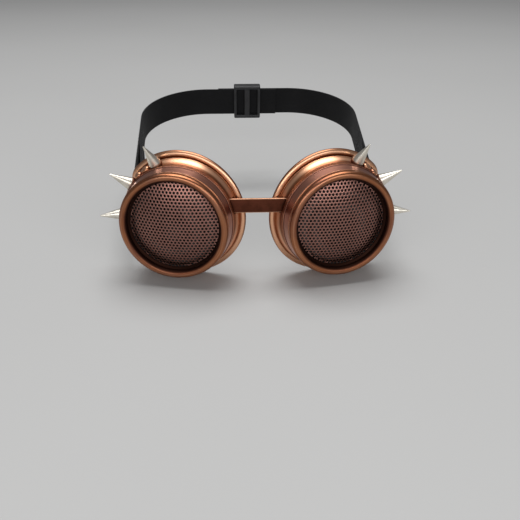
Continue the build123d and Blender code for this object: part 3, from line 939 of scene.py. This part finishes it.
for word in SIDES:
    cones, screws = [], []
    for angle in SPIKE_ANGLES:
        wall = spike_place(cups[word], angle)
        on_pad = wall.local(0, 0, PAD_RISE, *STRAIGHT)
        cones.append(turned("cone", SPIKE_LINE, on_pad, spike_finish, 72, close=(False, True)))
        screws.append(pan_screw(wall))
    for kind, shells, slot in (("spikes", cones, "spike_metal"), ("spike_screws", screws, "fastener")):
        made = joined(f"{kind}_{word}_surface", shells)
        place_on(made, f"cup_{word}", slot, f"{kind}_{word}")

# %% [markdown]
# The nose strip is a flat strip whose two ends are rolled into eyes. A headed pin goes through each
# eye and through the two bosses inside a cup, so the goggles fold a little to fit a face.


# %% Nose strip and pins
EYE_BORE, EYE_R = 1.05, 2.25


def pin_place(side):
    """A nose pin's upright axis."""
    return Place((side * PIN[0], PIN[1], 0), *STRAIGHT)


def strip():
    """A flat strip with a rolled eye at each end."""
    low, high = STRIP_Z - STRIP_H / 2, STRIP_Z + STRIP_H / 2
    eye = rounded([(EYE_BORE, low, 0.15), (EYE_R, low, 0.22), (EYE_R, high, 0.22), (EYE_BORE, high, 0.15)], 4)
    shells = [prism("flat", rectangle(0, PIN[1], 2 * PIN[0] - 3.0, STRIP_T, 0.3), low, high, 0.22, BODY,
                    strip_finish)]
    for side in (1, -1):
        shells.append(turned("eye", eye, pin_place(side), strip_finish, 64))
    return joined("nose_strip_surface", shells)


place_on(strip(), "nose", "nose_strip", "nose_strip")
for word, side in SIDES.items():
    line = rounded([(0, 0.55, 0), (1.3, 0.55, 0.3), (1.7, 0.85, 0.3), (1.7, 1.15, 0.08), (1.0, 1.15, 0.05),
                    (1.0, 16.2, 0.2), (0.7, 16.4, 0.2), (0, 16.4, 0)], 5, closed=False)
    pin = turned(f"nose_pin_{word}_surface", line, pin_place(side), screw_finish, 48,
                 close=(False, True), sharp=50)
    place_on(pin, f"cup_{word}", "fastener", f"nose_pin_{word}")

# %% [markdown]
# Behind the grille, a plastic spacer presses a round lens on to a rubber gasket on the neck's front.
# They are plain turned pieces, but their rims are softened, because light catches on a lens's edge.


# %% Lens, gasket and spacer
def washer(name, inner, outer, low, high, edge, place, material):
    """A flat ring with softened rims, or a disc where the inner radius is 0."""
    line = rounded([(inner, low, edge), (outer, low, edge), (outer, high, edge), (inner, high, edge)],
                   4, closed=inner > 0)
    return turned(name, line, place, material, 144, close=(inner > 0, True))


RINGS = [("lens", 0, 28.5, 5.2, 6.8, 0.25, lens_finish, "cup", "smoked_lens"),
         ("gasket", 25.1, 28.5, 4.4, 5.2, 0.25, gasket_finish, "cup", "gasket"),
         ("spacer", MOUTH_R, RIM_R, 6.8, 7.4, 0.15, spacer_finish, "holder", "spacer")]
for word, place in cups.items():
    for kind, inner, outer, low, high, edge, finish, body, slot in RINGS:
        made = washer(f"{kind}_{word}_surface", inner, outer, low, high, edge, place, finish)
        place_on(made, f"{body}_{word}", slot, f"{kind}_{word}")

# %% [markdown]
# Each half of the head strap is folded round its bar and sewn to itself, climbs towards the back of
# the head, turns a wide corner and runs straight through the slider, where it overlaps the other
# half. All of that lies in one plane that is tilted 10 degrees, so the strap is drawn there as a
# path, and its cross-section is carried along the path.

# %% Head strap
STRAP_W, STRAP_T = 20.0, 1.2
REAR, HALF_LAYER = 150.0, 0.75
LOOP_R, LOOP_BEND = 2.8, 2.2
SPREAD = np.radians(2.0)
strap_place = Place((0, BAR[1], 0), *CLIMBING)


def behind_bar(distance, aside, side):
    """A point of the strap's plane, behind the bar and to its outer side."""
    return (side * (BAR[0] + distance * np.sin(SPREAD) + aside * np.cos(SPREAD)),
            distance * np.cos(SPREAD) - aside * np.sin(SPREAD))


def strap_path(side, rear):
    """The middle line of one half: the sewn end, the fold round the bar, the side and the rear run."""
    start = behind_bar(0, LOOP_R, side)
    corner = (start[0] + side * (rear - start[1]) * np.tan(SPREAD), rear)
    fold = [(76, 1.7, 0), (62, 1.7, 12.0), (-LOOP_R, -LOOP_R, LOOP_BEND), (-LOOP_R, LOOP_R, LOOP_BEND)]
    return rounded([*((*behind_bar(distance, aside, side), bend) for distance, aside, bend in fold),
                    (*corner, 46.0), (-side * 22.0, rear, 0)], 30, closed=False)


def strap(word, rear):
    """Makes a rounded band, carried along the path. Its ends are closed by poles."""
    path = strap_path(SIDES[word], rear)
    run = np.gradient(path, axis=0)
    run[1:-1] = path[2:] - path[:-2]
    run = unit(run)
    aside = np.stack([-run[:, 1], run[:, 0]], axis=1)
    section = rectangle(0, 0, STRAP_T, STRAP_W, 0.5, 6)
    flat = path[:, None] + aside[:, None] * section[None, :, :1]
    grid = np.concatenate([flat, np.broadcast_to(section[None, :, 1:], flat.shape[:2] + (1,))], axis=-1)
    ends = [np.broadcast_to(np.append(path[end], 0), (1, len(section), 3)) for end in (0, -1)]
    grid = np.concatenate([ends[0], grid, ends[1]])
    length = np.concatenate([[0], np.cumsum(np.linalg.norm(np.diff(path, axis=0), axis=1))])
    along = np.concatenate([[0], length, length[-1:]]) * MM
    across = np.append(section[:, 1], section[0, 1]) * MM + 0.0105
    made = skin(f"strap_{word}_webbing", strap_place.put(grid), webbing_finish, close=(False, True),
                uv=(along, across), sharp=50)
    print(made.name, "length mm", round(length[-1]))
    place_on(made, f"strap_{word}", "webbing", f"strap_{word}")


for word, rear in (("right", REAR + HALF_LAYER), ("left", REAR - HALF_LAYER)):
    strap(word, rear)

# %% [markdown]
# The fold is held by three rows of stitches. A stitch is a short capsule that lies half in the
# webbing. One capsule is worked out, and numpy copies it to every stitch at once.


# %% Stitches
CAPSULE_RINGS, CAPSULE_SIDES = 9, 8


def stitches(word):
    """Makes rows of capsules across the strap, on both faces of its sewn end."""
    side = SIDES[word]
    turn, along = np.meshgrid(full_turn(CAPSULE_SIDES), np.linspace(-1, 1, CAPSULE_RINGS))
    swell = np.sqrt(np.clip(1 - np.abs(along) ** 5, 0, 1))
    capsule = ring_points(0.24 * swell, turn, 0.95 * along)
    quads = grid_quads(CAPSULE_RINGS, CAPSULE_SIDES, False, True)[0]
    spots = [(distance, aside, height) for distance in (64.5, 69.0, 73.5) for aside in (3.4, 1.1)
             for height in np.linspace(-8.4, 8.4, 7)]
    centres = np.array([(*behind_bar(distance, aside, side), height) for distance, aside, height in spots])
    points = (centres[:, None] + capsule.reshape(1, -1, 3)).reshape(-1, 3)
    first = CAPSULE_RINGS * CAPSULE_SIDES * np.arange(len(spots))
    faces = (quads[None] + first[:, None, None]).reshape(-1, 4)
    mesh = mesh_of(f"stitches_{word}", strap_place.put(points), faces)
    finish_mesh(mesh, 60)
    made = new_object(f"stitches_{word}", mesh, thread_finish)
    place_on(made, f"strap_{word}", "webbing")


for word in SIDES:
    stitches(word)

# %% [markdown]
# The slider at the back of the head is moulded in one piece: two side rails joined by bars. The
# strap's two layers pass between the outer and the inner bars. Each bar is a rounded outline in
# the strap's plane that is drawn out across the strap.


# %% Slider
BAR_SPAN, RAIL_T = 10.6, 2.4


def slider():
    """Two rails and five bars, each bar given as its middle and width in the strap's plane."""
    bars = [(8, 2.5, 4), (-8, 2.5, 4), (0, -2.5, 4), (9, -2.5, 2), (-9, -2.5, 2)]
    shells = [prism("bar", rectangle(x, REAR + y, width, 1.6, 0.45), -BAR_SPAN, BAR_SPAN, 0.1, strap_place,
                    slider_finish) for x, y, width in bars]
    for low in (-12.75, 10.35):
        shells.append(prism("rail", rectangle(0, REAR, 20, 6.6, 1.2, 8), low, low + RAIL_T, 0.55,
                            strap_place, slider_finish))
    return joined("strap_slider_surface", shells)


place_on(slider(), "slider", "slider", "strap_slider")

# %% [markdown]
# The studio is plain: a pale floor under the goggles, one wide soft light overhead, a low wide one
# in front, which the upper part of each grille reflects, and a dim grey world. The floor and the
# world are most of what the metal reflects.

# %% Floor, lights and world
FLOOR_HALF, FLOOR_Z = 4000, -37.6
corners = [(x * FLOOR_HALF, y * FLOOR_HALF, FLOOR_Z) for x, y in ((-1, -1), (1, -1), (1, 1), (-1, 1))]
floor_mesh = mesh_of("floor", corners, [(0, 1, 2, 3)])
floor_finish, coordinates = new_material("pale_floor")
cloudy = noise(coordinates, 3.0, 2.0)
give(floor_finish, Base_Color=blend(cloudy, (0.44, 0.44, 0.435), (0.47, 0.47, 0.465)), Roughness=0.8)
new_object("floor", floor_mesh, floor_finish)


def soft_light(name, where, target, size, power):
    """A flat light, (width, height) in metres, that looks from one point at another."""
    lamp = bpy.data.lights.new(name, "AREA")
    lamp.shape, lamp.energy = "RECTANGLE", power
    lamp.size, lamp.size_y = size
    made = linked(name, lamp)
    made.location = where
    made.rotation_euler = (Vector(target) - Vector(where)).to_track_quat("-Z", "Y").to_euler()


soft_light("overhead", (-0.05, 0.25, 1.8), (0, 0.03, 0), (1.4, 1.4), 33.0)
soft_light("key", (0.0, -1.0, 0.42), (0, 0, 0), (1.7, 0.36), 7.0)
world = bpy.data.worlds.new("studio")
world.use_nodes = True
background = world.node_tree.nodes["Background"].inputs
background["Color"].default_value = (0.17, 0.17, 0.175, 1)
background["Strength"].default_value = 1.0
bpy.context.scene.world = world
bpy.context.scene.view_settings.view_transform = "Standard"
print("lights", [lamp.name for lamp in bpy.data.lights])

# %% [markdown]
# The camera's place was worked out from the photograph: the view was fitted to both bezels. It
# stands 0.4 m in front of the goggles and a little above them, so near that perspective shows.

# %% Camera
camera = bpy.data.cameras.new("camera")
camera.sensor_width = 36.0
camera.lens = 36.0 * 700 / 520
eye = linked("camera", camera)
forward = Vector((0.0468, 0.8981, -0.4373)).normalized()
right = Vector((0.9987, -0.0504, 0.0035)).normalized()
up = right.cross(forward).normalized()
right = forward.cross(up)
turned_axes = Matrix((right, up, -forward)).transposed()
eye.matrix_world = Matrix.Translation(Vector((-17.6, -370.3, 152.2)) * MM) @ turned_axes.to_4x4()
bpy.context.scene.camera = eye

# %% Finish
bpy.context.view_layer.update()
